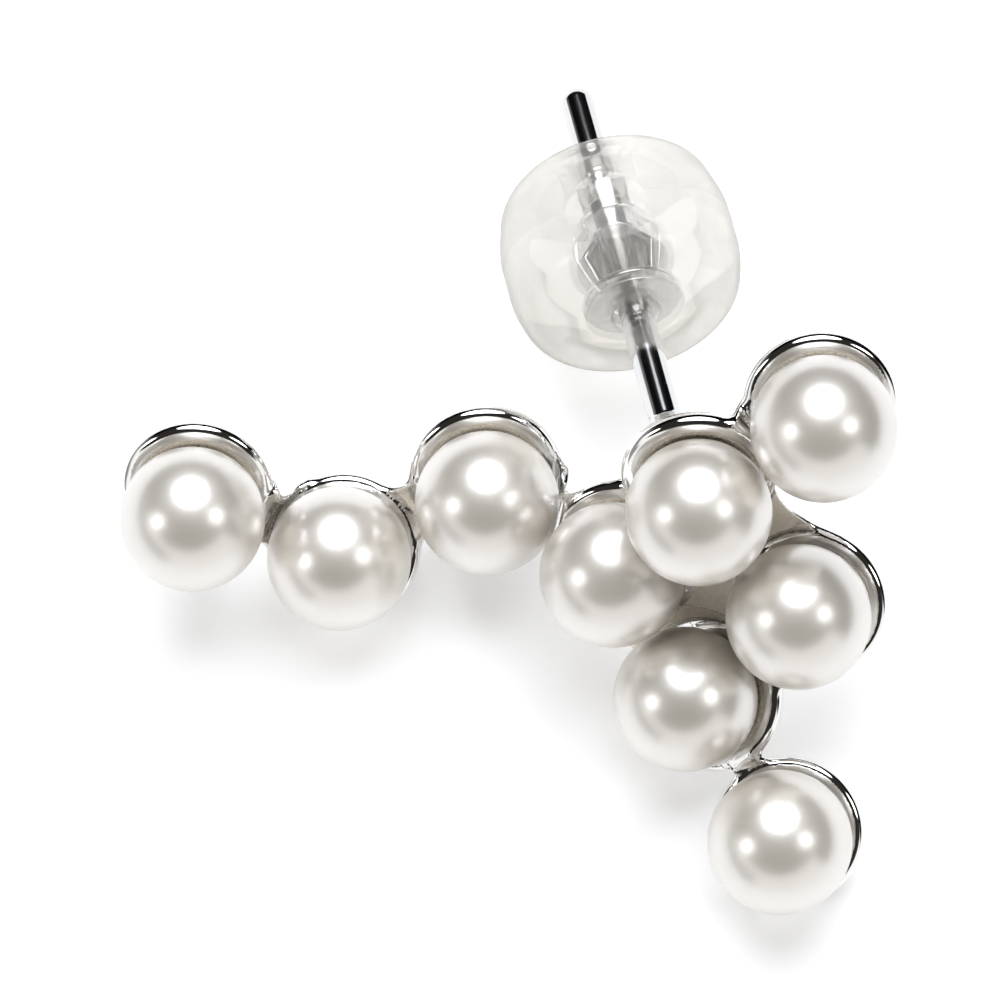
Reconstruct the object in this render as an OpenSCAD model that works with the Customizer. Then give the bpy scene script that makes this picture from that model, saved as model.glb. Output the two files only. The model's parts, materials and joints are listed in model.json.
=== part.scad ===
/* [Pearls] */
// Diameter of every pearl
pearl_d = 3.4; // [3:0.1:4]
// Depth of the half drilled hole in a pearl, as a share of its diameter
hole_share = 0.55; // [0.4:0.05:0.7]
// Clearance between a pearl and the metal around it
seat_gap = 0.05; // [0.03:0.01:0.1]

/* [Cups] */
// Outer diameter of a cup rim, as a share of the pearl diameter
cup_share = 1.06; // [1.02:0.01:1.1]
// Distance from a pearl centre down to its cup rim, as a share of the pearl radius
rim_drop_share = 0.68; // [0.6:0.01:0.76]
// Width of the rounded rim
rim_w = 0.26; // [0.2:0.02:0.32]
// Height of the outer wall of a cup
wall_h = 0.38; // [0.3:0.02:0.5]
// Thickness of the cup floor under the pearl
floor_t = 0.3; // [0.25:0.05:0.5]
// Diameter of the peg that holds a pearl
peg_d = 0.7; // [0.5:0.05:0.9]

/* [Webs] */
// Thickness of the sheet between two cups
web_t = 0.26; // [0.2:0.02:0.32]
// Drop of the sheet below the rims
web_drop = 0.1; // [0.05:0.01:0.15]

/* [Post] */
// Diameter of the ear post
post_d = 0.8; // [0.7:0.05:1]
// Distance from the centre of the post pearl to the post tip
post_reach = 12.5; // [11:0.1:13]
// Heading of the post in the plane of the table, in degrees
post_heading = 105.8; // [100:0.1:112]
// Slope of the post from its root down to its tip, in degrees
post_dip = 26.85; // [22:0.05:30]
// Distance of the post root from the middle of its cup
post_side = 0.16; // [0:0.02:0.3]
// Diameter of the solder pad at the post root
pad_d = 1.5; // [1.2:0.1:1.8]
// Thickness of the solder pad
pad_t = 0.45; // [0.35:0.05:0.6]
// Distance from the post tip to the friction groove
groove_at = 2.6; // [2:0.05:3]
// Width of the friction groove
groove_w = 0.6; // [0.55:0.05:0.8]
// Depth of the friction groove
groove_depth = 0.1; // [0.06:0.01:0.12]

/* [Ear nut] */
// Diameter of the silicone disc
nut_d = 5.5; // [5:0.1:6]
// Length of the silicone disc
nut_len = 3.8; // [3.5:0.1:4]
// Radius of its rounded edges
nut_edge = 0.9; // [0.5:0.05:1.1]
// Distance from the centre of the post pearl to the front face of the disc
nut_at = 5.7; // [4.5:0.1:7]

/* [Nut insert] */
// Depth of the flange below the front face
flange_depth = 0.4; // [0.3:0.05:0.6]
// Diameter of the flange
flange_d = 2.4; // [2:0.1:2.8]
// Thickness of the flange
flange_t = 0.2; // [0.15:0.05:0.3]
// Width of the spring cage
cage_w = 2.2; // [2:0.1:2.4]
// Depth of the spring cage
cage_t = 1.4; // [1.3:0.1:1.6]
// Length of the spring cage
cage_len = 1.7; // [1.5:0.1:1.9]
// Wall of the spring cage
cage_wall = 0.3; // [0.25:0.05:0.4]
// Outer diameter of the tube behind the cage
tube_d = 1.2; // [1.15:0.05:1.4]
// Length of the tube
tube_len = 0.9; // [0.6:0.1:1]
// Radial clearance of the insert on the post
post_clear = 0.05; // [0.02:0.01:0.08]
// Radial clearance between the disc's bore and the post
entry_clear = 0.15; // [0.1:0.01:0.2]
// Radial clearance of the insert's flared mouth on the post
flare_clear = 0.2; // [0.1:0.01:0.25]
// Clearance between the insert and the disc around it
insert_gap = 0.05; // [0.03:0.01:0.1]

/* [Hidden] */
$fn = 96;

pearl_r = pearl_d / 2;
cup_r = pearl_r * cup_share;
rim_drop = pearl_r * rim_drop_share;
eps = 0.01;

// Depth to which a sheet bites into a cup wall, and its start on cups that overlap
web_bite = 0.12;
reach_share = 0.42;

// Columns: parent row, heading, rise and reach from the parent, heading and angle of the lean.
// Headings and angles are in degrees, the reach is a share of the pearl diameter.
PARENT = 0;
HEADING = 1;
RISE = 2;
REACH = 3;
LEAN_HEADING = 4;
LEAN = 5;
LAYOUT = [
  [ 1,  167.3,  24.5, 1.100,  -91, 41],
  [ 2, -160.6, -10.1, 1.110,  -97, 18],
  [ 3,  148.7, -16.3, 1.067,  -83, 41],
  [ 4, -151.5, -47.8, 1.047, -109, 34],
  [-1,    0.0,   0.0, 0.000,  -88, 51],
  [ 4,   31.8,  17.5, 1.048,  -82, 34],
  [ 4,  -44.1, -34.5, 1.114, -121, 25],
  [ 6, -147.4, -31.7, 1.101, -163, 32],
  [ 7,  -56.4,  -3.0, 1.177, -113, 18]
];
ROWS = [0 : len(LAYOUT) - 1];
POST_ROW = 4;

// Columns: the two rows a sheet joins and its half width at the waist, as a share of the cup radius.
LINKS = [
  [0, 1, 0.40],
  [1, 2, 0.40],
  [2, 3, 0.45],
  [3, 4, 0.55],
  [4, 5, 0.55],
  [4, 6, 0.55],
  [3, 7, 0.80],
  [6, 7, 0.55],
  [3, 6, 0.50],
  [7, 8, 0.23]
];

// Unit vector of a heading and a rise
function ray(heading, rise) =
  [cos(rise) * cos(heading), cos(rise) * sin(heading), sin(rise)];

// Pearl centre of a row, measured from the post pearl
function centre(i) =
  LAYOUT[i][PARENT] < 0
    ? [0, 0, 0]
    : centre(LAYOUT[i][PARENT])
      + LAYOUT[i][REACH] * pearl_d * ray(LAYOUT[i][HEADING], LAYOUT[i][RISE]);

// Cup axis of a row, pointing out of the cup
function axis(i) = ray(LAYOUT[i][LEAN_HEADING], 90 - LAYOUT[i][LEAN]);

// Half extent of a disc in direction e
function disc_half(e, n, r) = r * sqrt(max(0, 1 - (e * n) * (e * n)));

post_axis = ray(post_heading, -post_dip);
post_from = [-post_side, 0, 0];
floor_drop = pearl_r + seat_gap;
back_drop = floor_drop + floor_t;
wall_foot = rim_drop + wall_h;
rim_ring_r = cup_r - rim_w / 2;
rim_ring_drop = rim_drop + rim_w / 2;
mouth_r = cup_r - rim_w;

// Radius of a spherical cap from its rim radius and its height
function cap_r(rim, height) = (rim * rim + height * height) / (2 * height);

dish_h = floor_drop - rim_drop;
dish_r = cap_r(mouth_r, dish_h);
back_h = back_drop - wall_foot;
back_r = cap_r(cup_r, back_h);

// Furthest reach of the domed back of row i in direction e
function back_far(i, e) =
  norm(cross(axis(i), e)) < cup_r / back_r && axis(i) * e < 0
    ? (centre(i) + (back_r - back_drop) * axis(i)) * e + back_r
    : centre(i) * e;

// Furthest reach of row i in direction e
function cup_far(i, e) = max(
  centre(i) * e + pearl_r,
  back_far(i, e),
  (centre(i) - rim_ring_drop * axis(i)) * e + disc_half(e, axis(i), rim_ring_r) + rim_w / 2,
  (centre(i) - wall_foot * axis(i)) * e + disc_half(e, axis(i), cup_r)
);

// Furthest reach of the silicone disc in direction e
function nut_far(e) = max([for (at = [nut_at + nut_edge, nut_at + nut_len - nut_edge])
  (post_from + at * post_axis) * e + disc_half(e, post_axis, nut_d / 2 - nut_edge) + nut_edge
]);

// Furthest reach of the post tip in direction e
function tip_far(e) = (post_from + (post_reach - post_d / 2) * post_axis) * e + post_d / 2;

function far(e) = max(max([for (i = ROWS) cup_far(i, e)]), nut_far(e), tip_far(e));

rest_shift = [
  (far([-1, 0, 0]) - far([1, 0, 0])) / 2,
  (far([0, -1, 0]) - far([0, 1, 0])) / 2,
  far([0, 0, -1])
];

peg_gap = seat_gap;
root_share = 1 / 3;
post_root = floor_drop + floor_t * root_share;
groove_mid = post_reach - groove_at - groove_w / 2;
groove_round = (pow(groove_w / 2, 2) + pow(groove_depth, 2)) / (2 * groove_depth);
groove_ring = post_d / 2 - groove_depth + groove_round;
groove_facets = 48;
bore_d = post_d + 2 * post_clear;
entry_d = post_d + 2 * entry_clear;
flare_d = post_d + 2 * flare_clear;

// Middle of the sheet's level on the axis of row i
function hub(i) = centre(i) - (rim_drop + web_drop + web_t / 2) * axis(i);

// Unit vector of v laid into the plane square to n
function flat(v, n) = (v - (v * n) * n) / norm(v - (v * n) * n);

// Places a shape in the frame of row i, with the pearl centre at its origin
module at_row(i) {
  translate(rest_shift + centre(i))
    rotate([0, LAYOUT[i][LEAN], LAYOUT[i][LEAN_HEADING]])
      children();
}

// Places a shape on the post axis, with the level of the post pearl centre at its origin
module at_post() {
  translate(rest_shift + post_from)
    rotate([0, 90 + post_dip, post_heading])
      children();
}

// Outside of one cup: rounded rim, wall and domed back
module cup_body() {
  translate([0, 0, -rim_ring_drop])
    rotate_extrude()
      translate([rim_ring_r, 0])
        circle(d = rim_w);
  intersection() {
    translate([0, 0, -back_drop - eps])
      cylinder(r = cup_r, h = back_drop - rim_ring_drop + eps);
    translate([0, 0, back_r - back_drop])
      sphere(r = back_r);
  }
}

// Room for one pearl in its cup
module cup_dish() {
  intersection() {
    translate([0, 0, -back_drop])
      cylinder(r = mouth_r, h = back_drop - rim_drop + web_drop + rim_w);
    translate([0, 0, dish_r - floor_drop])
      sphere(r = dish_r);
  }
  sphere(r = pearl_r + seat_gap);
}

// Waisted outline of a sheet between two circles of radius reach at distance d
module web_outline(d, reach, waist) {
  fillet = (d * d / 4 + waist * waist - reach * reach) / (2 * (reach - waist));
  side = fillet + waist;
  foot_x = reach * (d / 2) / (reach + fillet) - web_bite;
  foot_y = reach * side / (reach + fillet);
  difference() {
    translate([foot_x, -foot_y])
      square([d - 2 * foot_x, 2 * foot_y]);
    translate([d / 2, side])
      circle(r = fillet);
    translate([d / 2, -side])
      circle(r = fillet);
  }
}

// Sheet between two cups, from wall to wall
module web(link) {
  a = link[0];
  b = link[1];
  chord = hub(b) - hub(a);
  d = norm(chord);
  reach = min(cup_r - web_bite, reach_share * d);
  end_a = hub(a) + reach * flat(chord, axis(a));
  end_b = hub(b) - reach * flat(chord, axis(b));
  run = chord + end_b - end_a;
  turn = atan2(run[1], run[0]);
  climb = asin(run[2] / norm(run));
  up = axis(a) + axis(b);
  side_dir = [-sin(turn), cos(turn), 0];
  top_dir = [-sin(climb) * cos(turn), -sin(climb) * sin(turn), cos(climb)];
  roll = atan2(-(up * side_dir), up * top_dir);
  translate(rest_shift + (end_a + end_b) / 2)
    rotate([0, -climb, turn])
      rotate([roll, 0, 0])
        translate([-d / 2, 0, -web_t / 2])
          linear_extrude(height = web_t)
            web_outline(d, reach, link[2] * cup_r);
}

// Post with its solder pad, friction groove and rounded tip
module post() {
  translate([0, 0, post_root])
    cylinder(d = pad_d, h = pad_t);
  difference() {
    translate([0, 0, post_root])
      cylinder(d = post_d, h = post_reach - post_d / 2 - post_root);
    translate([0, 0, groove_mid])
      rotate_extrude()
        translate([groove_ring, 0])
          circle(r = groove_round, $fn = groove_facets);
  }
  translate([0, 0, post_reach - post_d / 2])
    sphere(d = post_d);
}

// One solid: nine cups, the sheets between them, the pegs and the ear post
module cup_frame() {
  color("silver") {
    difference() {
      union() {
        for (i = ROWS) at_row(i) cup_body();
        for (link = LINKS) web(link);
      }
      for (i = ROWS) at_row(i) cup_dish();
    }
    for (i = ROWS) at_row(i)
      translate([0, 0, -floor_drop - floor_t / 2])
        cylinder(d = peg_d, h = floor_drop + floor_t / 2);
    at_post() post();
  }
}

// One half drilled pearl
module pearl(i) {
  color("ivory")
    at_row(i)
      difference() {
        sphere(d = pearl_d);
        translate([0, 0, -pearl_r - eps])
          cylinder(d = peg_d + 2 * peg_gap, h = hole_share * pearl_d + eps);
      }
}

// Stack of flange, cage and tube, grown by g on every side
module insert_stack(g) {
  translate([0, 0, flange_depth - g])
    cylinder(d = flange_d + 2 * g, h = flange_t + 2 * g);
  translate([-cage_t / 2 - g, -cage_w / 2 - g, flange_depth + flange_t - eps])
    cube([cage_t + 2 * g, cage_w + 2 * g, cage_len + eps + g]);
  translate([0, 0, flange_depth + flange_t + cage_len - eps])
    cylinder(d = tube_d + 2 * g, h = tube_len + eps + g);
}

// Clear rubber disc of the ear nut
module nut_silicone() {
  color("whitesmoke")
    at_post()
      translate([0, 0, nut_at])
        difference() {
          union() {
            translate([0, 0, nut_edge])
              cylinder(d = nut_d, h = nut_len - 2 * nut_edge);
            cylinder(d = nut_d - 2 * nut_edge, h = nut_len);
            for (z = [nut_edge, nut_len - nut_edge])
              translate([0, 0, z])
                rotate_extrude()
                  translate([nut_d / 2 - nut_edge, 0])
                    circle(r = nut_edge);
          }
          insert_stack(insert_gap);
          translate([0, 0, -eps])
            cylinder(d = entry_d, h = nut_len + 2 * eps);
        }
}

// Metal insert of the ear nut: flared flange, open spring cage and tube
module nut_insert() {
  color("silver")
    at_post()
      translate([0, 0, nut_at])
        difference() {
          insert_stack(0);
          translate([-cage_t / 2 - eps, -cage_w / 2 + cage_wall, flange_depth + flange_t + cage_wall])
            cube([cage_t + 2 * eps, cage_w - 2 * cage_wall, cage_len - 2 * cage_wall]);
          cylinder(d = bore_d, h = nut_len);
          translate([0, 0, flange_depth - eps])
            cylinder(d1 = flare_d, d2 = bore_d, h = flange_t + eps);
        }
}

cup_frame();
pearl(0);  // pearl_1
pearl(1);  // pearl_2
pearl(2);  // pearl_3
pearl(3);  // pearl_4
pearl(4);  // pearl_5
pearl(5);  // pearl_6
pearl(6);  // pearl_7
pearl(7);  // pearl_8
pearl(8);  // pearl_9
nut_silicone();
nut_insert();
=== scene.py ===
import json
import math

import bpy
import numpy as np
from mathutils import Matrix, Vector


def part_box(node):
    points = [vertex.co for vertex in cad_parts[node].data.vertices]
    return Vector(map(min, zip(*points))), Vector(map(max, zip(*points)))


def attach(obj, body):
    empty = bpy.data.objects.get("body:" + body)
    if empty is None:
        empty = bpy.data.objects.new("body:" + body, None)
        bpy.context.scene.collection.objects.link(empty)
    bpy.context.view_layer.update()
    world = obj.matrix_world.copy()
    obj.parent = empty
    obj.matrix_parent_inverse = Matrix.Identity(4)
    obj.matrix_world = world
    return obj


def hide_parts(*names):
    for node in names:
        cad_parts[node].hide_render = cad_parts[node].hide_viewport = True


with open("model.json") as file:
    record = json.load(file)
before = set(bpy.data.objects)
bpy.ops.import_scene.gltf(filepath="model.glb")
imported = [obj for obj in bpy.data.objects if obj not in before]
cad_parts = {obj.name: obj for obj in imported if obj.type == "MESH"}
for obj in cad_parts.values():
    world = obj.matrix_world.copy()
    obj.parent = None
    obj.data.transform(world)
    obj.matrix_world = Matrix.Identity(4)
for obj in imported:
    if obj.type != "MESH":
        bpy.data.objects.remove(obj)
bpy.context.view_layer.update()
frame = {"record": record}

# ---------------------------------------------------------------- sizes in mm
PEARLS = ["pearl_%d" % n for n in range(1, 10)]
CUP_SHARE = 1.06        # cup rim diameter over pearl diameter
RIM_DROP_SHARE = 0.68   # drop of the rim below the pearl centre over pearl radius
RIM_W = 0.44            # width of the rim
RIM_ROUND = 0.19        # rounding of the rim towards the outer wall
LIP_ROUND = 0.07        # rounding of the rim towards the dish
WALL_H = 0.38           # height of the cup wall
WALL_HOLLOW = 0.0125    # how far the wall draws in at half its height
FOOT_ROUND = 0.10       # rounding between the wall and the domed back
SEAT_GAP = 0.05         # glue gap under the pearl and round its peg
FLOOR_T = 0.30          # thickness of the dish floor at its middle
MOUTH_EASE = 0.02       # how far outside the mouth the dish may cut

PEG_D = 0.70
PEG_SINK = 0.05         # depth of a peg's foot below the dish floor
PEARL_HOLE = 0.55       # depth of the drilled hole over pearl diameter
HOLE_LIP = 0.03         # width of the hole's broken edge
HOLE_LIP_DEPTH = 0.07
HOLE_CONE = 0.15        # height of the cone that the drill leaves at the hole's end
PEARL_RINGS = 78

WEB_T = 0.26            # thickness of a sheet
WEB_DROP = 0.06         # drop of a sheet's face below the rims
WEB_ROUND = 0.09        # rounding of a sheet's edges
WEB_FILLET = 0.16       # casting fillet between a sheet and a cup
WEB_BEAD = 0.045        # height of the polished bead along a narrow sheet's edges
WEB_BEAD_IN = 0.09      # distance of the bead's crest from the edge
WEB_BEAD_W = 0.07       # half width of the bead
WEB_BITE = 0.12         # how deep a sheet's outline runs into a cup's wall
WEB_TRIM = 0.02         # how far inside a cup's wall a sheet is cut off
REACH_SHARE = 0.42      # most that the outline reaches from a cup's axis, over the distance of the two cups
HOLD_IN = 0.30          # a sheet's end inside the cup's wall, at the least
HOLD_LEAST = 0.80       # a sheet's end from the cup's axis, at the least
HOLD_STEP = 0.05
CORNER_IN = 0.06        # how far inside the cup's wall a sheet's end corners stay
CUP_FILLET = 0.07       # casting fillet between two cups

POST_D = 0.80
POST_REACH = 12.5       # post tip from the pearl centre
PAD_D = 1.50
PAD_T = 0.45
PAD_SHOULDER = 0.55     # height of the pad's straight side over its thickness
PAD_ROUND = 0.12
NECK_W = 0.10           # solder neck between the pad and the post
NECK_LEN = 0.35
NECK_ROUND = 0.30
GROOVE_AT = 2.60        # friction groove from the tip
GROOVE_W = 0.60
GROOVE_DEPTH = 0.10

NUT_D = 5.50
NUT_LEN = 3.80
NUT_EDGE = 0.90         # rounding of the rubber's front edge
NUT_BULGE = 2.20        # rounding of its side
NUT_AT = 5.70           # nut's face from the pearl centre
NUT_BORE = 1.10
NUT_LIP = 0.12          # broken edge of the bore
FLANGE_DEPTH = 0.40     # flange from the nut's face
FLANGE_D = 2.40
FLANGE_T = 0.20
CAGE_W = 2.20
CAGE_LEN = 1.70
CAGE_ROOT_R = 0.70      # spring leaves where they leave the flange
CAGE_NECK_R = 0.86
CAGE_END_R = 0.60
CAGE_END_IN = 0.46
LEAF_T = 0.16
TUBE_D = 1.20
TUBE_LEN = 0.90
BORE_D = 0.90
OVERLAP = 0.02          # how far a leaf runs into the flange and the collar

# The casting's mesh
GRID = 0.068            # cell
GRID_REACH = 2.4        # grid's edge from the outermost pearl centres
GRID_LOW = -0.2         # grid's lowest height
FIELD_AWAY = 4.0        # the field far from any metal
CUP_BOX = 2.7           # half side of the box in which a cup counts
CUP_BOX_DROP = 1.1      # middle of that box below the pearl centre, for the metal
ROOM_BOX_DROP = 0.6     # the same for the room cut out of it
WEB_BOX = 1.3           # what a sheet's box has over half its length
SLOPE_STEP = 0.004      # half distance of the points that give a slope
SLOPE_LEAST = 0.2       # least squared slope that a pull is divided by
PULLS = 2               # pulls of the points onto the surface
PULL_MOST = 0.03        # furthest move over the slope in one pull

# Where the casting is satin and takes its painted bounce tone
DISH_SATIN_AND_PAINTED_BOUNCE = 0.70       # satin share in the dishes
DISH_EDGE = 0.08        # where it ends outside the mouth
DISH_FADE = 0.06
DISH_BELOW = 0.1        # how far below the dish floor it counts
DISH_ABOVE = 0.3        # and above the pearl centre
DISH_FACING = 0.1       # least cosine between a dish's surface and the cup axis
SHEET_NEAR = 3.2        # how far from a pearl centre its cup axis counts for the sheets
SHEET_FACING = 0.72     # least cosine between a sheet's surface and a near cup axis
FACING_FADE = 0.20
SHEET_EDGE = 0.02       # where the sheets' satin starts outside the rim
SHEET_FADE = 0.08

# Columns: heading and angle of each cup's lean, in degrees.
LEANS = [
    (-91, 41), (-97, 18), (-83, 41), (-109, 34), (-88, 51), (-82, 34), (-121, 25), (-163, 32), (-113, 18),
]

# Columns: the two cups a sheet joins, its half width at the waist over the cup radius, and its bead.
LINKS = [
    (0, 1, 0.40, 1), (1, 2, 0.40, 1), (2, 3, 0.25, 0), (3, 4, 0.55, 0), (4, 5, 0.55, 0), (4, 6, 0.55, 0),
    (3, 7, 0.80, 0), (6, 7, 0.55, 0), (3, 6, 0.50, 0), (7, 8, 0.23, 1),
]


def unit(v):
    v = np.asarray(v, float)
    return v / np.linalg.norm(v)


def ray(heading, rise):
    h, r = math.radians(heading), math.radians(rise)
    return np.array([math.cos(r) * math.cos(h), math.cos(r) * math.sin(h), math.sin(r)])


def pearl_place(name):
    """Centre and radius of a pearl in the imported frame, in mm."""
    low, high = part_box(name)
    low, high = np.array(low) * 1000, np.array(high) * 1000
    return (low + high) / 2, (high - low).max() / 2


places = [pearl_place(name) for name in PEARLS]
centres = [place[0] for place in places]
pearl_r = float(np.mean([place[1] for place in places]))
axes = [ray(heading, 90 - lean) for heading, lean in LEANS]
post_end = frame["record"]["mounts"][0]
post_axis = unit(post_end["axis"])
post_end_at = POST_REACH - POST_D / 2 - post_end["dims"]["length_mm"] / 2
post_origin = np.array(post_end["pos_m"]) * 1000 - post_end_at * post_axis

cup_r = pearl_r * CUP_SHARE
rim_drop = pearl_r * RIM_DROP_SHARE
floor_drop = pearl_r + SEAT_GAP
back_drop = floor_drop + FLOOR_T
mouth_r = cup_r - RIM_W


def cap_radius(rim, height):
    """Radius of a spherical cap from its rim radius and its height."""
    return (rim * rim + height * height) / (2 * height)


dish_r = cap_radius(mouth_r, floor_drop - rim_drop)
back_r = cap_radius(cup_r, back_drop - rim_drop - WALL_H)


# ------------------------------------------------- the casting: cups and sheets
def merge(a, b, k):
    """Union of two distance fields with a fillet of size k."""
    h = np.maximum(k - np.abs(a - b), 0) / k
    return np.minimum(a, b) - h * h * k / 4


def cut(a, b, k):
    """Field a without b, with a rounded edge of size k."""
    return -merge(-a, b, k)


def round_corner(x, y, r):
    """Distance to the quadrant x < 0, y < 0 with its corner rounded by r."""
    x, y = x + r, y + r
    return np.hypot(np.maximum(x, 0), np.maximum(y, 0)) + np.minimum(np.maximum(x, y), 0) - r


def cup_coordinates(i, x, y, z):
    """Distance from a cup's axis and height above its pearl's centre."""
    c, n = centres[i], axes[i]
    qx, qy, qz = x - c[0], y - c[1], z - c[2]
    h = qx * n[0] + qy * n[1] + qz * n[2]
    far = np.sqrt(np.maximum(qx * qx + qy * qy + qz * qz - h * h, 1e-9))
    return far, h


def cup_solid(i, x, y, z):
    far, h = cup_coordinates(i, x, y, z)
    down = np.clip((-h - rim_drop) / WALL_H, 0, 1) - 0.5
    wall = far - cup_r + 4 * WALL_HOLLOW * (0.25 - down * down)
    shell = round_corner(wall, h + rim_drop, RIM_ROUND)
    back = np.hypot(far, h - (back_r - back_drop)) - back_r
    return -merge(-shell, -back, 2 * FOOT_ROUND)


def cup_room(i, x, y, z):
    """What is cut out of the casting over a cup: its dish and the pearl's own room."""
    far, h = cup_coordinates(i, x, y, z)
    dish = np.hypot(far, h - (dish_r - floor_drop)) - dish_r
    mouth = np.maximum(dish, far - mouth_r - MOUTH_EASE)
    return np.minimum(mouth, np.hypot(far, h) - (pearl_r + SEAT_GAP))


def flat(v, n):
    """Direction of v across n."""
    return unit(v - (v @ n) * n)


def web_path(link):
    """Four points of the curve along the middle of a sheet, and its outline's numbers."""
    a, b, waist, bead = link
    level = rim_drop + WEB_DROP + WEB_T / 2
    hub_a, hub_b = centres[a] - level * axes[a], centres[b] - level * axes[b]
    chord = hub_b - hub_a
    d = np.linalg.norm(chord)
    reach = min(cup_r - WEB_BITE, REACH_SHARE * d)
    out_a, out_b = flat(chord, axes[a]), flat(chord, axes[b])
    w = waist * cup_r
    fillet = (d * d / 4 + w * w - reach * reach) / (2 * (reach - w))
    foot = d / 2 - reach * (d / 2) / (reach + fillet)
    for hold in np.arange(cup_r - HOLD_IN, HOLD_LEAST, -HOLD_STEP):
        start, end = hub_a + hold * out_a, hub_b - hold * out_b
        run = np.linalg.norm(end - start)
        spread = fillet + w - math.sqrt(fillet ** 2 - min(run / 2, foot) ** 2)
        if math.hypot(hold, spread) < cup_r - CORNER_IN:
            break
    third = run / 3
    return dict(p=[start, start + third * out_a, end - third * out_b, end], na=axes[a], nb=axes[b],
                fillet=fillet, side=fillet + w, foot=foot, bead=bead, cups=(a, b))


WEBS = [web_path(link) for link in LINKS]


def web_solid(web, x, y, z):
    """A bent sheet along its curve, turned from one cup's rim plane to the other's."""
    p0, p1, p2, p3 = web["p"]
    run = p3 - p0
    length = np.linalg.norm(run)
    e = run / length
    s = ((x - p0[0]) * e[0] + (y - p0[1]) * e[1] + (z - p0[2]) * e[2])
    t = np.clip(s / length, 0, 1)
    u = 1 - t
    m = [u ** 3 * p0[k] + 3 * u * u * t * p1[k] + 3 * u * t * t * p2[k] + t ** 3 * p3[k] for k in range(3)]
    turn = t * t * (3 - 2 * t)
    n = [(1 - turn) * web["na"][k] + turn * web["nb"][k] for k in range(3)]
    along = n[0] * e[0] + n[1] * e[1] + n[2] * e[2]
    n = [n[k] - along * e[k] for k in range(3)]
    size = np.sqrt(n[0] ** 2 + n[1] ** 2 + n[2] ** 2)
    n = [n[k] / size for k in range(3)]
    side = [n[1] * e[2] - n[2] * e[1], n[2] * e[0] - n[0] * e[2], n[0] * e[1] - n[1] * e[0]]
    q = [x - m[0], y - m[1], z - m[2]]
    up = q[0] * n[0] + q[1] * n[1] + q[2] * n[2]
    out = np.abs(q[0] * side[0] + q[1] * side[1] + q[2] * side[2])
    middle = np.clip(s - length / 2, -web["foot"], web["foot"])
    edge = web["fillet"] - np.hypot(middle, np.minimum(out, web["side"]) - web["side"])
    edge = np.where(out > web["side"], out, edge)
    thick = WEB_T / 2 + web["bead"] * WEB_BEAD * np.exp(-((edge + WEB_BEAD_IN) / WEB_BEAD_W) ** 2)
    slab = round_corner(edge, np.abs(up) - thick, WEB_ROUND)
    slab = np.maximum(slab, np.abs(s - length / 2) - length / 2)
    for i in web["cups"]:
        far, h = cup_coordinates(i, x, y, z)
        slab = np.maximum(slab, np.minimum(cup_r - WEB_TRIM - far, h + rim_drop + WEB_DROP))
    return slab


def casting(shape, region, coordinates):
    """Distance field of the casting, over a grid's boxes or over a list of points."""
    field = np.full(shape, FIELD_AWAY, np.float32)
    for i in range(9):
        part = region(centres[i] - CUP_BOX_DROP * axes[i], CUP_BOX)
        field[part] = merge(field[part], cup_solid(i, *coordinates(part)), CUP_FILLET)
    for web in WEBS:
        middle = (web["p"][0] + web["p"][3]) / 2
        part = region(middle, np.linalg.norm(web["p"][3] - web["p"][0]) / 2 + WEB_BOX)
        field[part] = merge(field[part], web_solid(web, *coordinates(part)), WEB_FILLET)
    for i in range(9):
        part = region(centres[i] - ROOM_BOX_DROP * axes[i], CUP_BOX)
        field[part] = cut(field[part], cup_room(i, *coordinates(part)), 2 * LIP_ROUND)
    return field


def casting_at(points, parts):
    """The field at points. parts keeps the points near each cup and sheet from one call to the next."""
    near = iter(list(parts))
    fresh = not parts

    def region(c, reach):
        if fresh:
            parts.append(np.nonzero((np.abs(points - c) < reach).all(1))[0])
            return parts[-1]
        return next(near)

    return casting(len(points), region, lambda part: points[part].T)


def casting_slope(points, parts):
    slope = np.empty_like(points)
    for k in range(3):
        shift = np.zeros(3)
        shift[k] = SLOPE_STEP
        rise = casting_at(points + shift, parts) - casting_at(points - shift, parts)
        slope[:, k] = rise / (2 * SLOPE_STEP)
    return slope


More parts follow.
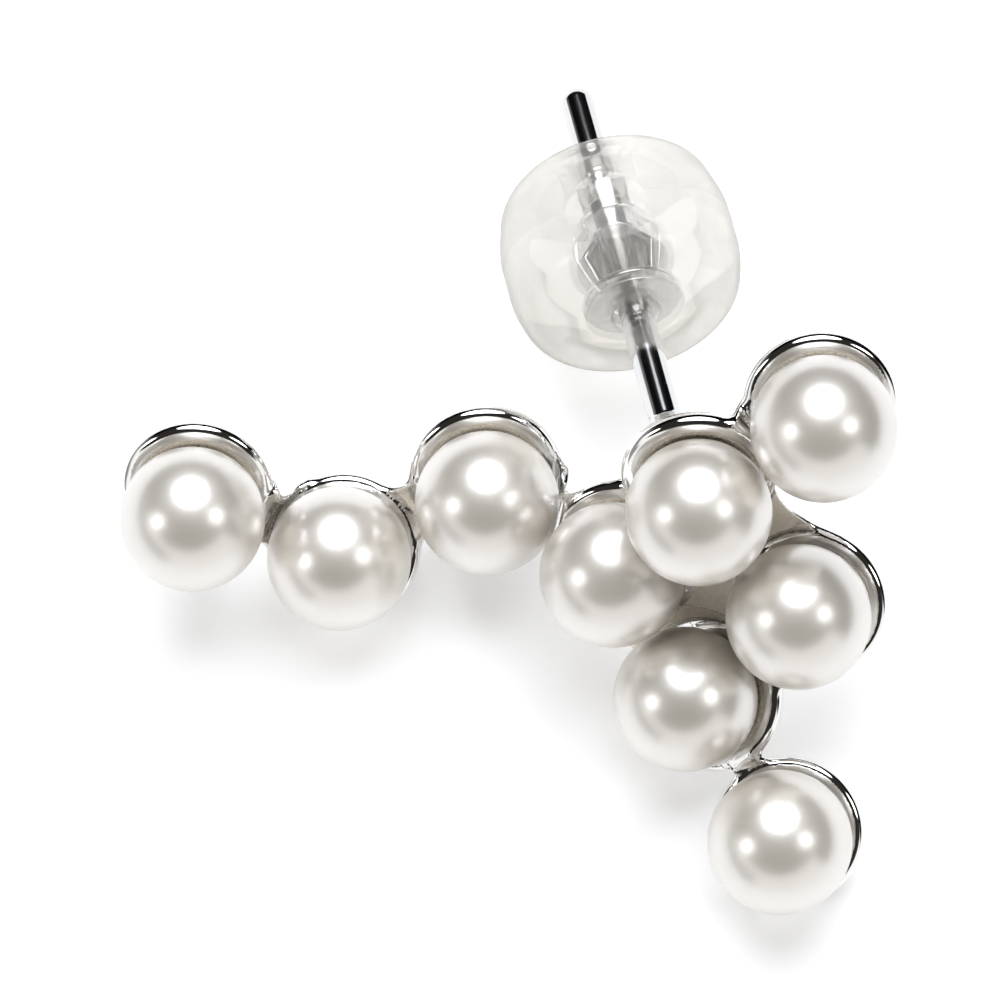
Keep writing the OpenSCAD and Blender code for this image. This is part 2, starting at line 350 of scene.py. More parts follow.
def casting_mesh():
    """Surface nets over the field, pulled onto it: points, quads and normals."""
    low = np.min([c - GRID_REACH for c in centres], 0)
    high = np.max([c + GRID_REACH for c in centres], 0)
    low[2] = GRID_LOW
    grid = [np.arange(low[k], high[k], GRID) for k in range(3)]

    def region(c, reach):
        ends = [np.searchsorted(grid[k], (c[k] - reach, c[k] + reach)) for k in range(3)]
        return tuple(slice(int(e[0]), int(e[1])) for e in ends)

    def coordinates(part):
        return grid[0][part[0]][:, None, None], grid[1][part[1]][None, :, None], grid[2][part[2]][None, None, :]

    field = casting(tuple(len(g) for g in grid), region, coordinates)
    inside = field < 0

    # One point in every cell that the surface passes through, at the mean of its crossings.
    count = np.zeros(tuple(n - 1 for n in field.shape), np.int8)
    corners = [(a, b, c) for a in (0, 1) for b in (0, 1) for c in (0, 1)]
    for corner in corners:
        count += inside[tuple(slice(o, o + n) for o, n in zip(corner, count.shape))]
    cells = np.argwhere((count > 0) & (count < 8))
    number = np.full(count.shape, -1, np.int32)
    number[tuple(cells.T)] = np.arange(len(cells))
    total = np.zeros((len(cells), 3))
    hits = np.zeros(len(cells))
    for a in corners:
        for k in range(3):
            if a[k]:
                continue
            b = tuple(a[j] + (j == k) for j in range(3))
            fa = field[tuple((cells + a).T)]
            fb = field[tuple((cells + b).T)]
            cross = (fa < 0) != (fb < 0)
            share = fa[cross] / (fa[cross] - fb[cross])
            total[cross] += np.array(a) + share[:, None] * (np.array(b) - np.array(a))
            hits[cross] += 1
    points = low + (cells + total / hits[:, None]) * GRID

    # One quad round every grid edge that the surface crosses, facing outwards.
    quads = []
    for k in range(3):
        i, j = (k + 1) % 3, (k + 2) % 3
        here = [slice(None)] * 3
        ahead = [slice(None)] * 3
        here[k], ahead[k] = slice(0, -1), slice(1, None)
        a, b = inside[tuple(here)], inside[tuple(ahead)]
        edges = np.argwhere(a != b)
        edges = edges[(edges[:, i] > 0) & (edges[:, j] > 0)]
        edges = edges[(edges[:, i] < field.shape[i] - 1) & (edges[:, j] < field.shape[j] - 1)]
        ring = []
        for di, dj in ((1, 1), (0, 1), (0, 0), (1, 0)):
            cell = edges.copy()
            cell[:, i] -= di
            cell[:, j] -= dj
            ring.append(number[tuple(cell.T)])
        ring = np.array(ring).T
        flip = ~a[tuple(edges.T)]
        ring[flip] = ring[flip][:, ::-1]
        quads.append(ring)

    parts = []
    for _ in range(PULLS):
        level = casting_at(points, parts)
        slope = casting_slope(points, parts)
        pull = level / np.maximum((slope ** 2).sum(1), SLOPE_LEAST)
        points = points - np.clip(pull, -PULL_MOST, PULL_MOST)[:, None] * slope
    slope = casting_slope(points, parts)
    return points, np.concatenate(quads), slope / np.linalg.norm(slope, axis=1)[:, None]


def satin_and_painted_bounce_share(points, normals):
    """How satin the casting is, which also sets where its pale warm tone is painted as bounce light and reflection of
    the pearls: in the dishes and on the sheets, and not on the polished rims and walls.
    """
    satin_and_painted_bounce = np.zeros(len(points))
    rim = np.full(len(points), np.inf)
    facing = np.full(len(points), -np.inf)
    for i in range(9):
        far, h = cup_coordinates(i, *points.T)
        up = normals @ axes[i]
        dish = np.clip((mouth_r + DISH_EDGE - far) / DISH_FADE, 0, 1)
        dish = dish * (h > -floor_drop - DISH_BELOW) * (h < DISH_ABOVE) * (up > DISH_FACING)
        satin_and_painted_bounce = np.maximum(satin_and_painted_bounce, DISH_SATIN_AND_PAINTED_BOUNCE * dish)
        rim = np.minimum(rim, np.maximum(far - cup_r, mouth_r - far))
        near = np.linalg.norm(points - centres[i], axis=1) < SHEET_NEAR
        facing = np.maximum(facing, np.where(near, up, 0))
    sheet = np.clip((rim - SHEET_EDGE) / SHEET_FADE, 0, 1)
    sheet = sheet * np.clip((facing - SHEET_FACING) / FACING_FADE, 0, 1)
    return np.maximum(satin_and_painted_bounce, sheet)


# ------------------------------------------------------------- mesh helpers
def piece_from(name, points, faces, material, normals=None):
    """A smooth piece from points in mm, with its own normals if they are given."""
    mesh = bpy.data.meshes.new(name)
    mesh.from_pydata((np.asarray(points) * 0.001).tolist(), [], [list(map(int, f)) for f in faces])
    mesh.validate()
    mesh.shade_smooth()
    if normals is not None:
        mesh.normals_split_custom_set_from_vertices(np.asarray(normals).tolist())
    mesh.materials.append(material)
    piece = bpy.data.objects.new(name, mesh)
    bpy.context.scene.collection.objects.link(piece)
    return piece


def soften(path, steps=6):
    """A profile with each corner (r, z, rounding) replaced by an arc."""
    out = []
    for k, (r, z, radius) in enumerate(path):
        here = np.array([r, z])
        if not radius or k in (0, len(path) - 1):
            out.append(here)
            continue
        before, after = np.array(path[k - 1][:2]), np.array(path[k + 1][:2])
        u, v = unit(before - here), unit(after - here)
        half = math.acos(max(-1, min(1, float(u @ v)))) / 2
        back = radius / math.tan(half)
        middle = here + unit(u + v) * radius / math.sin(half)
        a, b = here + u * back - middle, here + v * back - middle
        turn = math.atan2(a[0] * b[1] - a[1] * b[0], a @ b)
        for s in range(steps + 1):
            cos, sin = math.cos(turn * s / steps), math.sin(turn * s / steps)
            out.append(middle + np.array([a[0] * cos - a[1] * sin, a[0] * sin + a[1] * cos]))
    return np.array(out)


def arc(r, z, radius, start, end, steps):
    """Corners on an arc about (r, z), angles in degrees from the r axis."""
    turns = [math.radians(start + (end - start) * s / steps) for s in range(steps + 1)]
    return [(r + radius * math.cos(a), z + radius * math.sin(a), 0) for a in turns]


def turned(profile, steps, closed, sweep):
    """Points and faces of a profile turned about z. sweep limits it to a sector, with end faces."""
    profile = np.asarray(profile, float)[:, :2]
    n = len(profile)
    full = sweep is None
    count = steps if full else steps + 1
    if full:
        angles = np.linspace(0, 2 * math.pi, steps, endpoint=False)
    else:
        angles = np.radians(np.linspace(*sweep, count))
    points, index = [], np.zeros((n, count), int)
    for k, (r, z) in enumerate(profile):
        if r < 1e-6 and full:
            index[k] = len(points)
            points.append((0, 0, z))
            continue
        for m, a in enumerate(angles):
            index[k, m] = len(points)
            points.append((r * math.cos(a), r * math.sin(a), z))
    faces = []
    for k in range(n if closed else n - 1):
        k2 = (k + 1) % n
        for m in range(steps):
            m2 = (m + 1) % count
            face = [index[k, m], index[k, m2], index[k2, m2], index[k2, m]]
            face = [v for j, v in enumerate(face) if v != face[j - 1]]
            if len(face) > 2:
                faces.append(face)
    if not full:
        faces.append([index[k, 0] for k in range(n)])
        faces.append([index[k, count - 1] for k in range(n)][::-1])
    return np.array(points, float), faces


def area_normals(points, faces):
    """Point normals weighted by face area, so that wide faces stay flat next to small roundings."""
    normals = np.zeros_like(points)
    for face in faces:
        ring = points[face]
        n = np.cross(ring, np.roll(ring, -1, 0)).sum(0)
        normals[face] += n * np.linalg.norm(n) ** 0.5
    return normals / np.maximum(np.linalg.norm(normals, axis=1), 1e-12)[:, None]


def outward(points, faces):
    """The faces turned so that the closed shell they make encloses a positive volume."""
    volume = 0.0
    for face in faces:
        a = points[face[0]]
        for j in range(1, len(face) - 1):
            volume += float(np.dot(a, np.cross(points[face[j]], points[face[j + 1]])))
    return faces if volume > 0 else [face[::-1] for face in faces]


def place_on(origin, axis, up=(0, 0, 1)):
    """A frame with its x, y and z directions as rows, z along axis and x away from up, and its origin."""
    z = unit(axis)
    x = unit(np.array(up) - (np.array(up) @ z) * z) * -1
    y = np.cross(z, x)
    return np.array([x, y, z]), np.asarray(origin, float)


def turned_piece(name, profile, where, material, steps, closed=False, sweep=None):
    points, faces = turned(profile, steps, closed, sweep)
    faces = outward(points, faces)
    basis, origin = where
    normals = area_normals(points, faces) @ basis if sweep is None else None
    return piece_from(name, points @ basis + origin, faces, material, normals)


# ------------------------------------------------------------- node helpers
def colour(text):
    """A linear colour from an sRGB hex text."""
    parts = [int(text[k:k + 2], 16) / 255 for k in (1, 3, 5)]
    return tuple(c / 12.92 if c <= 0.04045 else ((c + 0.055) / 1.055) ** 2.4 for c in parts) + (1.0,)


def add(tree, kind, links=None, **settings):
    """Adds a node. links maps an input's name or number to a socket or to a constant."""
    new = tree.nodes.new(kind)
    for key, value in settings.items():
        setattr(new, key, value)
    for key, value in (links or {}).items():
        if isinstance(value, bpy.types.NodeSocket):
            tree.links.new(value, new.inputs[key])
        else:
            new.inputs[key].default_value = value
    return new


def noise(tree, place, size, detail):
    """Noise with a grain of the given size, in metres of the coordinates in place."""
    return add(tree, "ShaderNodeTexNoise", {"Vector": place, "Scale": 1 / size, "Detail": detail}).outputs["Fac"]


def stretched(tree, place, **settings):
    return add(tree, "ShaderNodeMapping", {"Vector": place, **settings}).outputs[0]


def spread(tree, value, low, high, start=0.0, end=1.0, **settings):
    """A value from start to end becomes one from low to high, and is held beyond them."""
    return add(tree, "ShaderNodeMapRange", {
        "Value": value, "From Min": start, "From Max": end, "To Min": low, "To Max": high}, **settings).outputs[0]


def tint(tree, share, first, second):
    """A colour between two."""
    return add(tree, "ShaderNodeMix", {"Factor": share, 6: first, 7: second}, data_type="RGBA").outputs[2]


def between(tree, share, first, second):
    """A value between two."""
    return add(tree, "ShaderNodeMix", {"Factor": share, 2: first, 3: second}, data_type="FLOAT").outputs[0]


def grey(tree, tone):
    return add(tree, "ShaderNodeCombineColor", {0: tone, 1: tone, 2: tone}).outputs[0]


def bumps(tree, height, strength, depth):
    return add(tree, "ShaderNodeBump", {"Height": height, "Strength": strength, "Distance": depth}).outputs[0]


def surface(tree, **settings):
    """A surface. Its inputs are given by their names, with _ for a space."""
    named = {key.replace("_", " "): value for key, value in settings.items()}
    return add(tree, "ShaderNodeBsdfPrincipled", named).outputs[0]


def layered(tree, share, under, over):
    return add(tree, "ShaderNodeMixShader", {0: share, 1: under, 2: over}).outputs[0]


def new_material(name):
    """An empty material, its tree and the piece's own coordinates."""
    material = bpy.data.materials.new(name)
    material.use_nodes = True
    tree = material.node_tree
    tree.nodes.clear()
    return material, tree, add(tree, "ShaderNodeTexCoord").outputs["Object"]


def finished(material, shader):
    add(material.node_tree, "ShaderNodeOutputMaterial", {"Surface": shader})
    return material


# ---------------------------------------------------------------- materials
NOISE_RANGE = (0.3, 0.7)    # where nearly all of a noise lies


def rhodium_cast_polished():
    """Cast silver, rhodium plated: mirror polished rims and walls, satin dishes and sheets.
    The eye sees a sharp, slightly rippled mirror that turns to a grey haze where the wheel didn't reach; the haze's
    pale warm tone is painted bounce light and painted reflection of the pearls."""
    material, tree, place = new_material("rhodium_cast_polished")
    satin_and_painted_bounce = add(tree, "ShaderNodeAttribute", attribute_name="satin_and_painted_bounce").outputs["Fac"]
    ripple = noise(tree, place, 0.0009, 2.0)
    grain = noise(tree, place, 0.00012, 3.0)
    # The satin parts' pale warm colour is painted bounce light and painted reflection of the pearls, lifting the shaded
    # dishes and sheets.
    tone = tint(tree, satin_and_painted_bounce, colour("#E8E7E5"), colour("#FBF2E3"))
    cloudy = between(tree, satin_and_painted_bounce, 1.0, spread(tree, grain, 0.92, 1.04, *NOISE_RANGE))
    shade = add(tree, "ShaderNodeVectorMath", {0: tone, 1: cloudy}, operation="MULTIPLY").outputs[0]
    rough = between(tree, satin_and_painted_bounce, spread(tree, ripple, 0.02, 0.07), spread(tree, grain, 0.30, 0.48))
    relief = bumps(tree, between(tree, satin_and_painted_bounce, ripple, grain), 0.06, 0.00002)
    metal = spread(tree, satin_and_painted_bounce, 1.0, 0.2)
    return finished(material, surface(tree, Base_Color=shade, Metallic=metal, Roughness=rough, Normal=relief))


def pearl_nacre():
    """Cultured pearl: glassy nacre layers over a white bead.
    The eye sees a soft mirror of the room set deep in a warm white body, with the finest orient grain."""
    material, tree, place = new_material("pearl_nacre")
    cloud = noise(tree, place, 0.0022, 2.0)
    orient = noise(tree, place, 0.00022, 2.0)
    body = tint(tree, cloud, colour("#D8CFBE"), colour("#DFD8CA"))
    sheen = tint(tree, cloud, colour("#ECECEA"), colour("#EEECED"))
    rough = spread(tree, orient, 0.27, 0.31)
    relief = bumps(tree, orient, 0.01, 0.00001)
    bead = surface(tree, Base_Color=body, Roughness=0.45, Specular_IOR_Level=0.4, Normal=relief)
    glow = surface(tree, Base_Color=colour("#E9E6E1"), Metallic=1.0, Roughness=0.55)
    lustre = surface(tree, Base_Color=sheen, Metallic=1.0, Roughness=rough, Normal=relief)
    facing = add(tree, "ShaderNodeLayerWeight", {"Blend": 0.5}).outputs["Facing"]
    share = spread(tree, facing, 0.37, 0.50, 0.15, 0.60)
    return finished(material, layered(tree, share, layered(tree, 0.37, bead, glow), lustre))


def rhodium_drawn_wire():
    """Drawn silver wire, rhodium plated: the eye sees a narrow mirror with hair lines along the wire."""
    material, tree, place = new_material("rhodium_drawn_wire")
    tilt = math.acos(post_axis[2])
    head = math.atan2(post_axis[1], post_axis[0])
    across = stretched(tree, place, Rotation=(0, 0, -head))
    along = stretched(tree, across, Rotation=(0, -tilt, 0))
    lines = stretched(tree, along, Scale=(1 / 0.00006, 1 / 0.00006, 1 / 0.003))
    hair = noise(tree, lines, 1.0, 2.0)
    shade = grey(tree, spread(tree, hair, 0.64, 0.74, *NOISE_RANGE))
    rough = spread(tree, hair, 0.05, 0.14)
    relief = bumps(tree, hair, 0.08, 0.00001)
    return finished(material, surface(tree, Base_Color=shade, Metallic=1.0, Roughness=rough, Normal=relief))


def steel_stamped(name, rough_low, rough_high, tone_low, tone_high):
    """Stamped steel strip, tumbled: the eye sees a broken, brushed grey sheen with paler edges."""
    material, tree, place = new_material(name)
    brush = stretched(tree, place, Scale=(1 / 0.0009, 1 / 0.0002, 1 / 0.00007))
    lines = noise(tree, brush, 1.0, 3.0)
    shade = grey(tree, spread(tree, lines, tone_low, tone_high, *NOISE_RANGE))
    rough = spread(tree, lines, rough_low, rough_high)
    relief = bumps(tree, lines, 0.1, 0.00001)
    return finished(material, surface(tree, Base_Color=shade, Metallic=1.0, Roughness=rough, Normal=relief))


def silicone_clear_moulded():
    """Clear silicone rubber from a polished mould: the eye sees through a faintly milky body
    with a soft gloss and grey outlines where the wall is seen edge on, partly the longer path through the rubber and
    partly painted shade."""
    material, tree, place = new_material("silicone_clear_moulded")
    haze = noise(tree, place, 0.0015, 2.0)
    facing = add(tree, "ShaderNodeLayerWeight", {"Blend": 0.5}).outputs["Facing"]
    # Seen edge on, the veil and the milk turn grey: the veil's grey stands partly for the longer path through the
    # rubber, and the milk's grey is painted shade for the dark surroundings seen through the wall.
    skin = spread(tree, facing, 0.0, 1.0, 0.62, 0.97)
    rim = tint(tree, skin, tint(tree, haze, colour("#EBE7E2"), colour("#F1EEEA")), colour("#A8A6A2"))
    veil = tint(tree, skin, colour("#FCFBF8"), colour("#BDBBB7"))
    glass = surface(tree, Base_Color=colour("#FAF8F4"), Roughness=0.06, IOR=1.41, Transmission_Weight=1.0)
    milk = surface(tree, Base_Color=rim, Roughness=spread(tree, haze, 0.08, 0.14), IOR=1.41)
    clear = add(tree, "ShaderNodeBsdfTransparent", {"Color": veil}).outputs[0]
    return finished(material, layered(tree, 0.50, clear, layered(tree, 0.30, glass, milk)))


def paper_floor():
    """Matt white paper."""
    material, tree, place = new_material("paper_floor")
    white = tint(tree, noise(tree, place, 0.0004, 2.0), colour("#F0F0F0"), colour("#F3F3F3"))
    return finished(material, surface(tree, Base_Color=white, Roughness=0.9, Specular_IOR_Level=0.1,
                                      Emission_Color=colour("#FFFFFF"), Emission_Strength=0.34))


rhodium = rhodium_cast_polished()
nacre = pearl_nacre()
wire = rhodium_drawn_wire()
silicone = silicone_clear_moulded()
stamped = steel_stamped("steel_stamped_tumbled", 0.22, 0.38, 0.50, 0.66)
flange_steel = steel_stamped("steel_stamped_bright", 0.16, 0.30, 0.70, 0.84)
collar_steel = steel_stamped("steel_turned_bright", 0.08, 0.16, 0.80, 0.90)


# ------------------------------------------------------------ geometry nodes
def new_tree(name, inputs):
    """An empty geometry tree with named inputs: (name, socket type, default)."""
    tree = bpy.data.node_groups.new(name, "GeometryNodeTree")
    tree.interface.new_socket("Geometry", in_out="INPUT", socket_type="NodeSocketGeometry")
    tree.interface.new_socket("Geometry", in_out="OUTPUT", socket_type="NodeSocketGeometry")
    for label, kind, default in inputs:
        socket = tree.interface.new_socket(label, in_out="INPUT", socket_type=kind)
        if default is not None:
            socket.default_value = default
    return tree, add(tree, "NodeGroupInput").outputs


def close_tree(tree, geometry, material):
    """Makes the geometry real, gives it its material and ends the tree with it."""
    real = add(tree, "GeometryNodeRealizeInstances", {"Geometry": geometry})
    done = add(tree, "GeometryNodeSetMaterial", {"Geometry": real.outputs[0], "Material": material})
    add(tree, "NodeGroupOutput", {0: done.outputs[0]})
    return tree


def grown(piece, tree, **values):
    """The piece's mesh replaced by the tree's result, made plain."""
    modifier = piece.modifiers.new("grown", "NODES")
    modifier.node_group = tree
    for item in tree.interface.items_tree:
        if item.in_out == "INPUT" and item.name in values:
            modifier[item.identifier] = values[item.name]
    graph = bpy.context.evaluated_depsgraph_get()
    mesh = bpy.data.meshes.new_from_object(piece.evaluated_get(graph), depsgraph=graph)
    piece.modifiers.remove(modifier)
    old = piece.data
    piece.data = mesh
    mesh.name = piece.name
    bpy.data.meshes.remove(old)


def nacre_tree():
    """Nacre grows a little unevenly: the turned bead is moved along its normals by slow noise."""
    tree, given = new_tree("nacre_growth", [
        ("Unevenness", "NodeSocketFloat", 0.00001), ("Spacing", "NodeSocketFloat", 0.0025),
        ("Seed", "NodeSocketFloat", 1.0), ("Material", "NodeSocketMaterial", None)])
    place = add(tree, "GeometryNodeInputPosition")
    normal = add(tree, "GeometryNodeInputNormal")
    pitch = add(tree, "ShaderNodeMath", {0: 1.0, 1: given["Spacing"]}, operation="DIVIDE")
    slow = add(tree, "ShaderNodeTexNoise", {
        "Vector": place.outputs[0], "W": given["Seed"], "Scale": pitch.outputs[0], "Detail": 1.0},
        noise_dimensions="4D")
    inward = add(tree, "ShaderNodeMath", {0: slow.outputs["Fac"], 1: 1.0}, operation="SUBTRACT")
    depth = add(tree, "ShaderNodeMath", {0: inward.outputs[0], 1: given["Unevenness"]}, operation="MULTIPLY")
    offset = add(tree, "ShaderNodeVectorMath", {0: normal.outputs[0], "Scale": depth.outputs[0]}, operation="SCALE")
    moved = add(tree, "GeometryNodeSetPosition", {"Geometry": given["Geometry"], "Offset": offset.outputs[0]})
    smooth = add(tree, "GeometryNodeSetShadeSmooth", {"Geometry": moved.outputs[0]})
    return close_tree(tree, smooth.outputs[0], given["Material"])


def peg_tree():
    """A peg with a glue collar on every point of the input, along the point's axis attribute."""
    tree, given = new_tree("peg_row", [
        ("Peg radius", "NodeSocketFloat", 0.00035), ("Peg length", "NodeSocketFloat", 0.0017),
        ("Glue radius", "NodeSocketFloat", 0.0005), ("Material", "NodeSocketMaterial", None)])
    axis = add(tree, "GeometryNodeInputNamedAttribute", {"Name": "axis"}, data_type="FLOAT_VECTOR")
    turn = add(tree, "FunctionNodeAlignRotationToVector", {"Vector": axis.outputs[0]}, axis="Z")
    peg = add(tree, "GeometryNodeMeshCylinder", {
        "Vertices": 24, "Radius": given["Peg radius"], "Depth": given["Peg length"]})
    half = add(tree, "ShaderNodeMath", {0: given["Peg length"], 1: 0.5}, operation="MULTIPLY")
    up = add(tree, "ShaderNodeCombineXYZ", {"Z": half.outputs[0]})
    raised = add(tree, "GeometryNodeTransform", {"Geometry": peg.outputs["Mesh"], "Translation": up.outputs[0]})
    glue = add(tree, "GeometryNodeMeshCone", {
        "Vertices": 24, "Radius Top": given["Peg radius"], "Radius Bottom": given["Glue radius"], "Depth": 0.00012})
    both = add(tree, "GeometryNodeJoinGeometry")
    tree.links.new(raised.outputs[0], both.inputs[0])
    tree.links.new(glue.outputs["Mesh"], both.inputs[0])
    placed = add(tree, "GeometryNodeInstanceOnPoints", {
        "Points": given["Geometry"], "Instance": both.outputs[0], "Rotation": turn.outputs[0]})
    return close_tree(tree, placed.outputs[0], given["Material"])


# ------------------------------------------------------------------- pieces
points, quads, normals = casting_mesh()
cups = piece_from("cup_casting", points, quads, rhodium, normals)
# This mask sets the satin finish and also where the painted bounce tone goes.
satin_and_painted_bounce = cups.data.attributes.new("satin_and_painted_bounce", "FLOAT", "POINT")
satin_and_painted_bounce.data.foreach_set("value", satin_and_painted_bounce_share(points, normals).astype(np.float32))

# Columns of every profile: distance from the axis, height along it, rounding of the corner.
post_place = place_on(post_origin, post_axis)
post_r = POST_D / 2
root = floor_drop + FLOOR_T / 3     # the pad starts inside the cup's floor
groove = POST_REACH - GROOVE_AT - GROOVE_W / 2
groove_round = ((GROOVE_W / 2) ** 2 + GROOVE_DEPTH ** 2) / (2 * GROOVE_DEPTH)
groove_half = math.degrees(math.asin(GROOVE_W / 2 / groove_round))
post_profile = soften(
    [(0, root, 0), (PAD_D / 2, root, 0.03), (PAD_D / 2, root + PAD_T * PAD_SHOULDER, PAD_ROUND),
     (post_r + NECK_W, root + PAD_T, PAD_ROUND), (post_r, root + PAD_T + NECK_LEN, NECK_ROUND)]
    + arc(post_r - GROOVE_DEPTH + groove_round, groove, groove_round, 180 + groove_half, 180 - groove_half, 9)
    + arc(0, POST_REACH - post_r, post_r, 0, 90, 14)[:-1] + [(0, POST_REACH, 0)])
post = turned_piece("ear_post", post_profile, post_place, wire, steps=72)

# The pearl's profile: a sphere drilled from below. Nacre growth then makes each one a little uneven.
hole_r = PEG_D / 2 + SEAT_GAP
hole_depth = PEARL_HOLE * 2 * pearl_r
hole_half = math.degrees(math.asin((hole_r + HOLE_LIP) / pearl_r))
skin = [(pearl_r * math.sin(math.radians(a)), pearl_r * math.cos(math.radians(a)), 0)
        for a in np.linspace(0, 180 - hole_half, PEARL_RINGS)]
skin[0] = (0, pearl_r, 0)
drilled = soften(skin + [
    (hole_r, -pearl_r + HOLE_LIP_DEPTH, 0), (hole_r, -pearl_r + hole_depth - HOLE_CONE, 0.1),
    (0, -pearl_r + hole_depth, 0)])
growth = nacre_tree()
pearls = []
for k, name in enumerate(PEARLS):
    pearl = turned_piece(name + "_nacre", drilled, place_on(centres[k], axes[k], (1, 0, 0)), nacre, steps=120)
    grown(pearl, growth, Unevenness=0.000012, Spacing=0.0025, Seed=3.0 * k + 1.5, Material=nacre)
    pearls.append(pearl)

pegs = bpy.data.objects.new("pearl_pegs", bpy.data.meshes.new("pearl_pegs"))
peg_feet = [tuple((c - (floor_drop + PEG_SINK) * n) * 0.001) for c, n in zip(centres, axes)]
pegs.data.from_pydata(peg_feet, [], [])
peg_axes = pegs.data.attributes.new("axis", "FLOAT_VECTOR", "POINT")
peg_axes.data.foreach_set("vector", np.concatenate(axes).astype(np.float32))
bpy.context.scene.collection.objects.link(pegs)
grown(pegs, peg_tree(), **{
    "Peg radius": PEG_D / 2000, "Peg length": floor_drop * 0.001, "Glue radius": 0.0006, "Material": stamped})

# Ear nut: a barrel of clear rubber moulded round a stamped insert.
nut_place = place_on(post_origin + NUT_AT * post_axis, post_axis)
nut_r, bore_r = NUT_D / 2, NUT_BORE / 2
disc_profile = soften([
    (bore_r, NUT_LIP, 0.08), (bore_r + NUT_LIP, 0, 0.1), (nut_r - 0.30, 0, NUT_EDGE), (nut_r, 1.15, NUT_BULGE),
    (nut_r, 2.45, NUT_BULGE), (nut_r - 0.35, NUT_LEN, NUT_EDGE * 0.9), (bore_r + NUT_LIP, NUT_LEN, 0.1),
    (bore_r, NUT_LEN - NUT_LIP, 0.08)], steps=14)
disc = turned_piece("nut_disc", disc_profile, nut_place, silicone, steps=144, closed=True)

# The insert: a flange that funnels the post in, two spring leaves and a collar.
insert_r, flange_r = BORE_D / 2, FLANGE_D / 2
flange_back = FLANGE_DEPTH + FLANGE_T
flange_profile = soften([
    (insert_r + 0.17, FLANGE_DEPTH, 0.03), (flange_r - 0.10, FLANGE_DEPTH + 0.02, 0.05),
    (flange_r, FLANGE_DEPTH + 0.07, 0.05), (flange_r, flange_back, 0.05), (insert_r + 0.12, flange_back, 0.03),
    (insert_r, flange_back + 0.12, 0.02), (insert_r, FLANGE_DEPTH + 0.14, 0.04)])
flange = turned_piece("insert_flange", flange_profile, nut_place, flange_steel, steps=96, closed=True)

cage_end, cage_r = flange_back + CAGE_LEN, CAGE_W / 2
leaf_outer = [
    (CAGE_ROOT_R, flange_back - OVERLAP, 0), (CAGE_NECK_R, flange_back + 0.25, 0.15),
    (cage_r, flange_back + 1.0, 0.12), (CAGE_END_R, cage_end - 0.06, 0.1), (CAGE_END_R, cage_end + OVERLAP, 0)]
leaf_inner = [
    (CAGE_END_IN, cage_end + OVERLAP, 0), (CAGE_END_IN, cage_end - 0.10, 0.1),
    (cage_r - LEAF_T, flange_back + 0.98, 0.08), (CAGE_NECK_R - LEAF_T, flange_back + 0.3, 0.1),
    (CAGE_ROOT_R - LEAF_T, flange_back - OVERLAP, 0)]
leaf_profile = soften(leaf_outer + leaf_inner)
for label, sweep in (("insert_leaf_a", (48, 132)), ("insert_leaf_b", (228, 312))):
    leaf = turned_piece(label, leaf_profile, nut_place, stamped, steps=28, closed=True, sweep=sweep)
    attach(leaf, "ear_nut")
    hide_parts("nut_insert")

collar_r, collar_end = TUBE_D / 2, cage_end + TUBE_LEN
collar_profile = soften([
    (insert_r, cage_end + OVERLAP, 0.03), (collar_r, cage_end + OVERLAP, 0.05), (collar_r, collar_end - 0.02, 0.06),
    (insert_r + 0.03, collar_end, 0.02), (insert_r, collar_end - 0.03, 0.02)])
collar = turned_piece("insert_collar", collar_profile, nut_place, collar_steel, steps=72, closed=True)

for piece in (cups, post, pegs):
    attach(piece, "stud")
    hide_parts("cup_frame")
for name, pearl in zip(PEARLS, pearls):
    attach(pearl, "stud")
    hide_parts(name)
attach(disc, "ear_nut")
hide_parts("nut_silicone")
for piece in (flange, collar):
    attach(piece, "ear_nut")
    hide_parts("nut_insert")

# -------------------------------------------------------- floor, light, camera
# The paper under the earring, in metres. It reaches furthest to the front and to the left.
LEFT, RIGHT, FRONT, BEHIND = -0.30, 0.060, -0.30, 0.036
paper = [(LEFT, FRONT, 0), (RIGHT, FRONT, 0), (RIGHT, BEHIND, 0), (LEFT, BEHIND, 0)]
floor = bpy.data.objects.new("paper_floor", bpy.data.meshes.new("paper_floor"))
floor.data.from_pydata(paper, [], [(0, 1, 2, 3)])
floor.data.materials.append(paper_floor())
bpy.context.scene.collection.objects.link(floor)

# Columns: direction of a light's middle, half angle and soft edge in degrees, strength, colour.
LIGHTS = [
    ((0.02, 0.60, 0.80), 25.5, 1.5, 5.4, "#F8FAFF"),
    ((-0.78, -0.13, 0.61), 9, 2, 5.5, "#FFFFFF"),
    ((0.69, 0.00, 0.73), 10.5, 2, 5.0, "#FFFFFF"),
]
# Columns: direction across the floor, how far round it reaches as a cosine, its top's height and soft edge,
# and its brightness.
WALLS = [
    ((-0.15, -1.0), 0.10, 0.52, 0.10, 1.15),
    ((-1.0, 0.10), 0.45, 0.30, 0.15, 0.32),
    ((0.45, 0.90), 0.05, 0.50, 0.04, 0.004),
]
WALL_SOFT = 0.12        # soft ends of a wall, as a cosine
ROOM = 0.03             # brightness of what no light or wall covers
ROOM_TINT = "#FFF6EC"
BACKDROP = 0.93         # brightness the camera sees beyond the paper


def scaled(strength, tint_text):
    return tuple(strength * c for c in colour(tint_text)[:3])


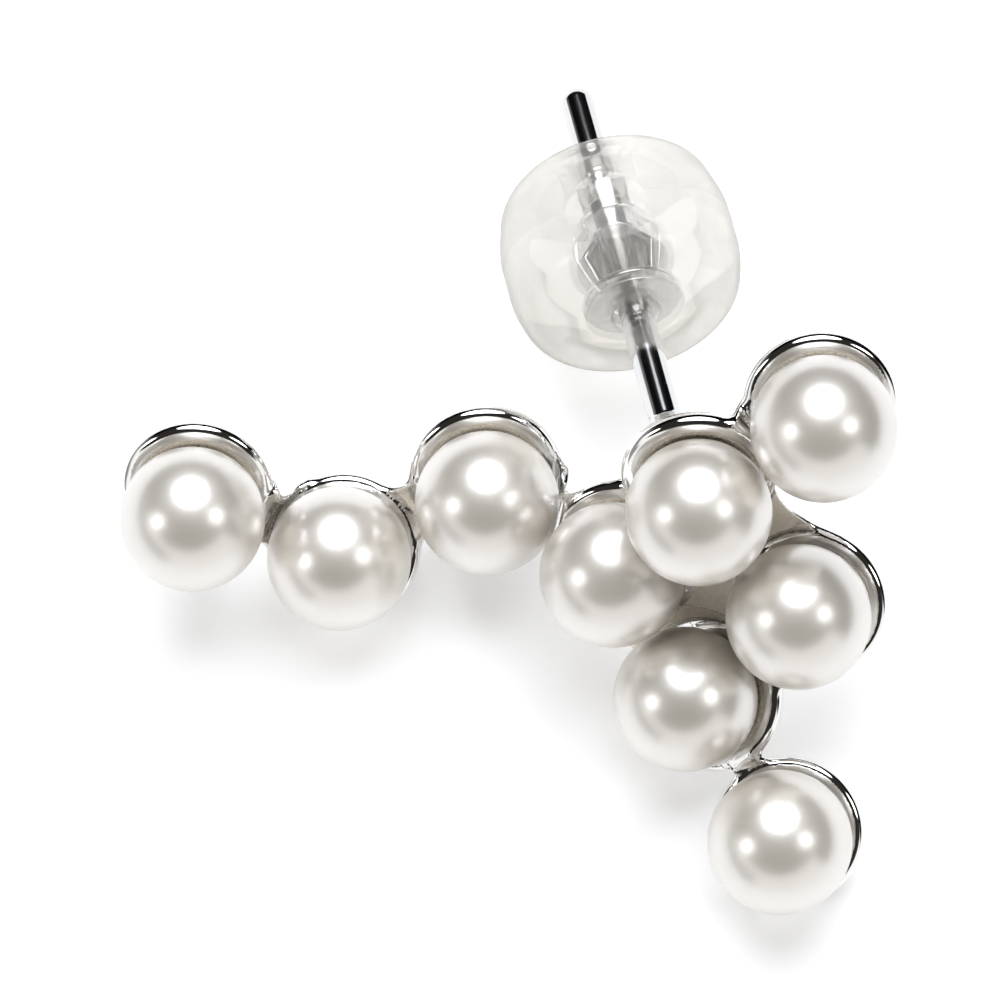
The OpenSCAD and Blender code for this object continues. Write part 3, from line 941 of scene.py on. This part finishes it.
def studio():
    """Soft lights and walls all round, painted on the sky by direction."""
    world = bpy.data.worlds.new("studio")
    bpy.context.scene.world = world
    world.use_nodes = True
    tree = world.node_tree
    tree.nodes.clear()
    look = add(tree, "ShaderNodeTexCoord").outputs["Generated"]
    height = add(tree, "ShaderNodeSeparateXYZ", {0: look}).outputs["Z"]
    level = add(tree, "ShaderNodeVectorMath", {0: look, 1: (1, 1, 0)}, operation="MULTIPLY")
    heading = add(tree, "ShaderNodeVectorMath", {0: level.outputs[0]}, operation="NORMALIZE").outputs[0]

    def towards(way, direction):
        both = {0: way, 1: tuple(unit(direction))}
        return add(tree, "ShaderNodeVectorMath", both, operation="DOT_PRODUCT").outputs["Value"]

    def step(value, low, high, start, end):
        return spread(tree, value, low, high, start, end, interpolation_type="SMOOTHSTEP")

    def over(total, share, light):
        return add(tree, "ShaderNodeMix", {"Factor": share, 4: total, 5: light}, data_type="VECTOR").outputs[1]

    total = add(tree, "ShaderNodeRGB").outputs[0]
    total.default_value = scaled(ROOM, ROOM_TINT) + (1,)
    for direction, reach, top, soft, strength in WALLS:
        side = step(towards(heading, direction + (0,)), 0.0, 1.0, reach - WALL_SOFT, reach + WALL_SOFT)
        low = step(height, 1.0, 0.0, top - soft / 2, top + soft / 2)
        share = add(tree, "ShaderNodeMath", {0: side, 1: low}, operation="MULTIPLY").outputs[0]
        total = over(total, share, (strength,) * 3)
    for direction, half, soft, strength, light_tint in LIGHTS:
        start, end = (math.cos(math.radians(max(angle, 0))) for angle in (half + soft, half - soft))
        total = over(total, step(towards(look, direction), 0.0, 1.0, start, end), scaled(strength, light_tint))
    camera_ray = add(tree, "ShaderNodeLightPath").outputs["Is Camera Ray"]
    background = add(tree, "ShaderNodeBackground", {"Color": over(total, camera_ray, (BACKDROP,) * 3), "Strength": 1.0})
    add(tree, "ShaderNodeOutputWorld", {"Surface": background.outputs[0]})


studio()
bpy.context.scene.view_settings.view_transform = "Standard"

# The camera stands almost above, as in the photograph, and looks at the middle of the earring.
EYE = np.array([12.27, -27.43, 224.1])      # in mm
STRAIGHT = (0, 26.02, -219.46)              # the photograph's own line of sight
FOCAL = 4069                                # its focal length in thousandths of its width
ASIDE, UP = -228, 18                        # the earring's middle from its centre, in the same unit
CLOSER = 2.35                               # how much larger the earring is shown than in the photograph
FILM = 36

straight = unit(STRAIGHT)
above = np.cross((1, 0, 0), straight)
aim = unit(straight * FOCAL + np.array([1, 0, 0]) * ASIDE + above * UP)
right = unit(np.cross(aim, above))
top = np.cross(right, aim)
camera_data = bpy.data.cameras.new("camera")
camera_data.sensor_width = FILM
camera_data.lens = FILM * FOCAL / 1000 * CLOSER
camera_data.clip_start = 0.01
camera_data.clip_end = 10
camera = bpy.data.objects.new("camera", camera_data)
bpy.context.scene.collection.objects.link(camera)
turn = np.array([right, top, -aim]).T
camera.matrix_world = Matrix.Translation(Vector(EYE * 0.001)) @ Matrix(turn.tolist()).to_4x4()
bpy.context.scene.camera = camera
